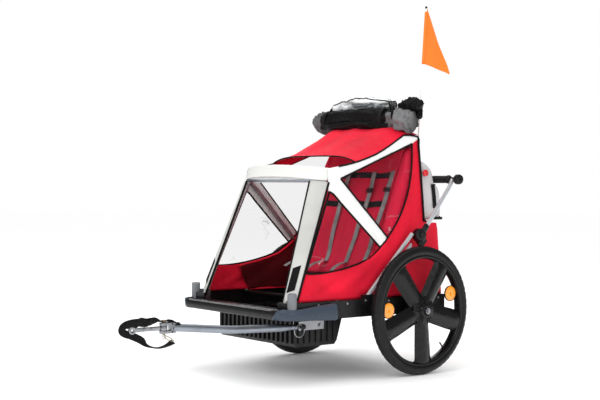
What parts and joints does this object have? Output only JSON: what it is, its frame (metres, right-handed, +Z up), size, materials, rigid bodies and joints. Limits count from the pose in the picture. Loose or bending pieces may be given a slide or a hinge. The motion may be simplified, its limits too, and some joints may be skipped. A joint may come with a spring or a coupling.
{
  "type": "child bicycle trailer",
  "caption": "Two-seat fabric child trailer on a folding frame, with spoked wheels, push handle, tow arm, safety flag and rear cargo pouch.",
  "frame": {"origin": "on the floor, under the centre of the whole trailer's length and width", "axes": "+Z up, +Y towards the rear and -Y towards the bicycle, +X towards the trailer's left side, where the tow arm is"},
  "size_m": [0.836, 1.5367, 1.4571],
  "materials": {
    "black_plastic": "grained polypropylene",
    "slate_plastic": "satin moulded",
    "grey_plastic": "satin moulded",
    "aluminium_tube": "brushed and anodised",
    "silver_tube": "silver powder coat",
    "zinc_steel": "bright zinc",
    "red_fabric": "coated polyester weave",
    "dark_red_fabric": "padded polyester",
    "white_trim": "coated fabric with black piping",
    "white_visor": "smooth white",
    "clear_vinyl": "soft clear vinyl",
    "grey_fabric": "light grey polyester, black piping",
    "black_fabric": "mesh and weave",
    "harness_webbing": "ribbed webbing",
    "buckle_plastic": "moulded acetal",
    "tyre_rubber": "ribbed tread",
    "grip_rubber": "fine ribbed foam rubber",
    "amber_reflector": "prismatic amber",
    "red_reflector": "glossy red",
    "orange_flag": "light ripstop",
    "fibreglass": "smooth white rod"
  },
  "bodies": {
    "trailer": {"tray": "black_plastic", "footwell": "black_plastic", "bumper_bar": "black_plastic", "bumper_cap_left": "slate_plastic", "bumper_cap_right": "slate_plastic", "caster_sockets": "grey_plastic", "axle_tube": "aluminium_tube", "axle_brackets": "black_plastic", "axle_pins": "zinc_steel", "seat_tubes": "aluminium_tube", "side_struts": "silver_tube", "strut_feet": "black_plastic", "hinge_hubs": "black_plastic", "front_pivots": "zinc_steel", "side_panel_left": "red_fabric", "side_panel_right": "red_fabric", "side_window_left": "clear_vinyl", "side_window_right": "clear_vinyl", "side_band_left": "white_trim", "side_band_right": "white_trim", "roof": "red_fabric", "rear_panel": "red_fabric", "boot_panel": "red_fabric", "cargo_bag": "grey_fabric", "seat_cushion": "dark_red_fabric", "seat_back": "red_fabric", "back_webbing": "black_fabric", "harness_straps": "harness_webbing", "harness_buckles": "buckle_plastic", "tow_bracket": "zinc_steel", "tow_pivot_bolt": "zinc_steel", "rear_reflectors": "red_reflector"},
    "left_wheel": {"tyre_left": "tyre_rubber", "rim_left": "black_plastic", "bearings_left": "zinc_steel", "reflectors_left": "amber_reflector"},
    "right_wheel": {"tyre_right": "tyre_rubber", "rim_right": "black_plastic", "bearings_right": "zinc_steel", "reflectors_right": "amber_reflector"},
    "left_release": {"release_button_left": "white_visor"},
    "right_release": {"release_button_right": "white_visor"},
    "front_hoop": {"front_hoop_tube": "aluminium_tube", "post_sleeves": "white_trim", "brow": "white_visor"},
    "rear_hoop": {"rear_hoop_tube": "aluminium_tube", "cover_roll": "black_fabric", "clear_roll": "clear_vinyl", "roll_bundle": "black_fabric", "roll_straps": "black_fabric", "flag_socket": "black_plastic"},
    "flag": {"flag_pole": "fibreglass", "pennant": "orange_flag"},
    "push_handle": {"handle_tube": "silver_tube", "handle_grip": "grip_rubber"},
    "tow_arm": {"tow_tube": "aluminium_tube", "tow_lock_pin": "zinc_steel", "hitch_pin": "zinc_steel"},
    "hitch": {"hitch_plate": "zinc_steel", "safety_strap": "black_fabric"}
  },
  "joints": [
    {"name": "left_wheel_spin", "type": "hinge", "parent": "trailer", "child": "left_wheel", "pos_m": [0.37, 0.47886, 0.25], "axis": [1, 0, 0], "continuous": true},
    {"name": "right_wheel_spin", "type": "hinge", "parent": "trailer", "child": "right_wheel", "pos_m": [-0.37, 0.47886, 0.25], "axis": [1, 0, 0], "continuous": true},
    {"name": "left_release_press", "type": "slide", "parent": "trailer", "child": "left_release", "axis": [-1, 0, 0], "range_m": [0, 0.003], "stiffness_N_per_m": 120},
    {"name": "right_release_press", "type": "slide", "parent": "trailer", "child": "right_release", "axis": [1, 0, 0], "range_m": [0, 0.003], "stiffness_N_per_m": 120},
    {"name": "frame_fold", "type": "hinge", "parent": "trailer", "child": "rear_hoop", "pos_m": [0, 0.50986, 0.54], "axis": [1, 0, 0], "range_deg": [0, 95], "deforming": ["side_panel_left", "side_panel_right", "side_window_left", "side_window_right", "side_band_left", "side_band_right", "roof", "rear_panel", "boot_panel", "cargo_bag", "rear_reflectors", "seat_back", "back_webbing", "harness_straps", "harness_buckles"]},
    {"name": "front_fold", "type": "hinge", "parent": "trailer", "child": "front_hoop", "pos_m": [0, -0.09314, 0.302], "axis": [1, 0, 0], "range_deg": [-47.5, 0]},
    {"name": "handle_tilt", "type": "hinge", "parent": "trailer", "child": "push_handle", "pos_m": [0, 0.50986, 0.54], "axis": [1, 0, 0], "range_deg": [-80, 0]},
    {"name": "flag_slide", "type": "slide", "parent": "rear_hoop", "child": "flag", "axis": [0.0718, 0, 0.9974], "range_m": [0, 0.3]},
    {"name": "tow_arm_fold", "type": "hinge", "parent": "trailer", "child": "tow_arm", "pos_m": [0.27, 0.04086, 0.213], "axis": [1, 0, 0], "range_deg": [0, 168]},
    {"name": "hitch_swivel", "type": "hinge", "parent": "tow_arm", "child": "hitch", "pos_m": [0.22, -0.59714, 0.242], "axis": [0, 0, 1], "range_deg": [-55, 55]}
  ],
  "couplings": [
    {"joint": "front_fold", "follows": "frame_fold", "ratio": -0.5}
  ]
}
